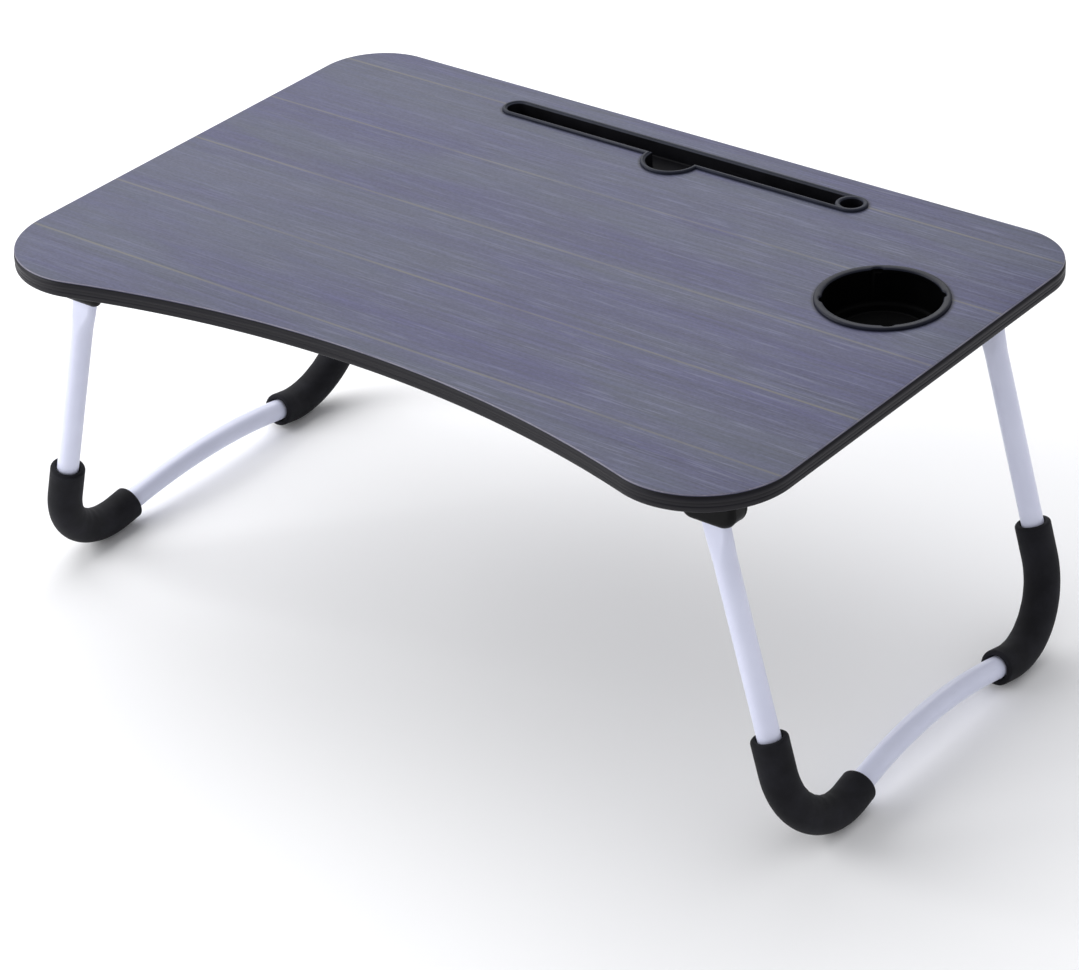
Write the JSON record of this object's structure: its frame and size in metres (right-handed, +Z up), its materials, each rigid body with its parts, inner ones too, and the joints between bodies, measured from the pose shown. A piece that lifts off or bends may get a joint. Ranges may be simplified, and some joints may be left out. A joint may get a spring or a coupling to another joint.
{
  "type": "folding tray table",
  "caption": "Low folding tray table with a belly-cut laminate top, tablet slot, pen hole and cup holder, on two splayed bent-tube leg frames with foam foot sleeves.",
  "frame": {"origin": "on the floor, under the middle of the table, with the legs open", "axes": "+X to the right of the user, +Y to the back edge with the tablet slot, +Z up"},
  "size_m": [0.6414, 0.4, 0.2669],
  "materials": {
    "laminate": "satin printed wood-grain laminate, blue-grey",
    "core": "raw fibreboard",
    "backing": "plain dark laminate",
    "trim": "satin black-grey extruded edging",
    "liner": "satin moulded",
    "cup": "satin to gloss moulded",
    "bracket": "satin moulded",
    "pin": "bright riveted",
    "bush": "natural nylon",
    "screw": "zinc plated",
    "leg_paint": "semi-gloss white powder coat",
    "sleeve": "matte closed-cell foam"
  },
  "bodies": {
    "tray": {"tray_core": "core", "top_laminate": "laminate", "bottom_laminate": "backing", "edge_trim": "trim", "slot_liner": "liner", "cup_holder": "cup", "bracket_front_left": "bracket", "bracket_front_right": "bracket", "bracket_rear_left": "bracket", "bracket_rear_right": "bracket", "pivot_pin_front_left": "pin", "pivot_pin_front_right": "pin", "pivot_pin_rear_left": "pin", "pivot_pin_rear_right": "pin", "bracket_screws": "screw"},
    "right_leg": {"leg_tube_right": "leg_paint", "pivot_bush_front_right": "bush", "pivot_bush_rear_right": "bush", "foot_sleeve_front_right": "sleeve", "foot_sleeve_rear_right": "sleeve"},
    "left_leg": {"leg_tube_left": "leg_paint", "pivot_bush_front_left": "bush", "pivot_bush_rear_left": "bush", "foot_sleeve_front_left": "sleeve", "foot_sleeve_rear_left": "sleeve"}
  },
  "joints": [
    {"name": "right_leg_fold", "type": "hinge", "parent": "tray", "child": "right_leg", "pos_m": [0.25, 0, 0.239], "axis": [0, 1, 0], "range_deg": [0, 104.5]},
    {"name": "left_leg_fold", "type": "hinge", "parent": "tray", "child": "left_leg", "pos_m": [-0.25, 0, 0.239], "axis": [0, -1, 0], "range_deg": [0, 104.5]}
  ]
}
